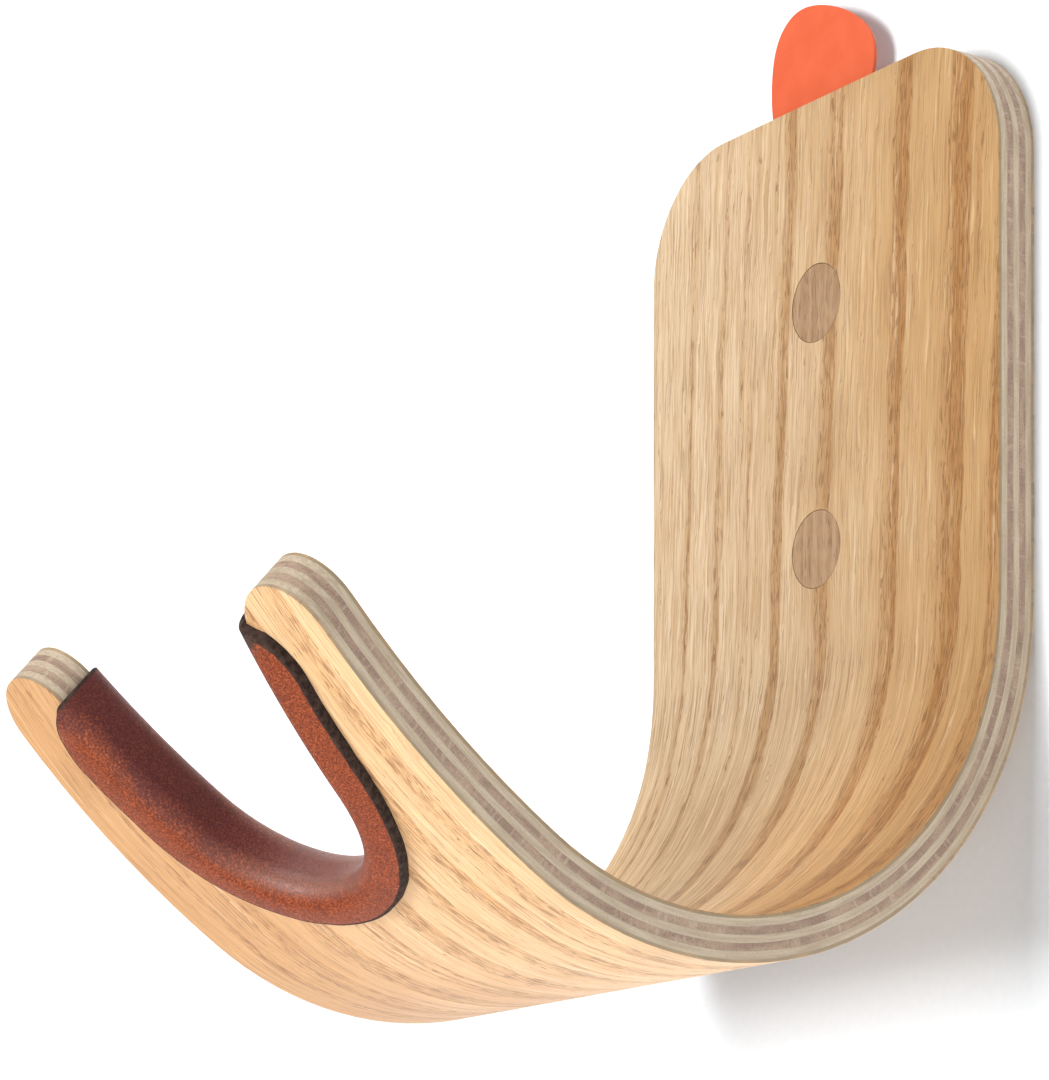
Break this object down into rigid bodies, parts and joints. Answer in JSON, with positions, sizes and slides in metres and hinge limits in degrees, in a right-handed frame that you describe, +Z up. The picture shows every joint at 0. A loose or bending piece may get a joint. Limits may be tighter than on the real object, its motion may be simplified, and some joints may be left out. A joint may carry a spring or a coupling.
{
  "type": "wall guitar hanger",
  "caption": "J-shaped moulded plywood wall hanger with a leather-lined neck fork, plugged screws and a pick standing in a top slot.",
  "frame": {"origin": "on the wall plane, midway between the two screws", "axes": "+X to the right when facing the wall, +Y into the wall, +Z up"},
  "size_m": [0.09, 0.1751, 0.1669],
  "materials": {
    "ash_veneer": "satin lacquer over open-grained ash",
    "light_ply": "sanded and lacquered cut edge, long grain",
    "brown_ply": "sanded and lacquered cut edge, end grain",
    "saddle_leather": "waxed red-brown, burnished where it is folded",
    "plug_wood": "sanded grey-brown with dark pores",
    "screw_steel": "zinc plated",
    "coral_plastic": "matte"
  },
  "bodies": {
    "hanger": {"front_face_veneer": "ash_veneer", "front_long_ply": "light_ply", "front_cross_ply": "brown_ply", "core_ply": "light_ply", "back_cross_ply": "brown_ply", "back_long_ply": "light_ply", "back_face_veneer": "ash_veneer", "leather_lining": "saddle_leather", "upper_screw": "screw_steel", "lower_screw": "screw_steel"},
    "upper_cap": {"upper_plug": "plug_wood"},
    "lower_cap": {"lower_plug": "plug_wood"},
    "pick": {"guitar_pick": "coral_plastic"}
  },
  "joints": [
    {"name": "upper_plug_pull", "type": "slide", "parent": "hanger", "child": "upper_cap", "axis": [0, -1, 0], "range_m": [0, 0.02]},
    {"name": "lower_plug_pull", "type": "slide", "parent": "hanger", "child": "lower_cap", "axis": [0, -1, 0], "range_m": [0, 0.02]},
    {"name": "pick_lift", "type": "slide", "parent": "hanger", "child": "pick", "axis": [0, 0, 1], "range_m": [0, 0.025]}
  ]
}
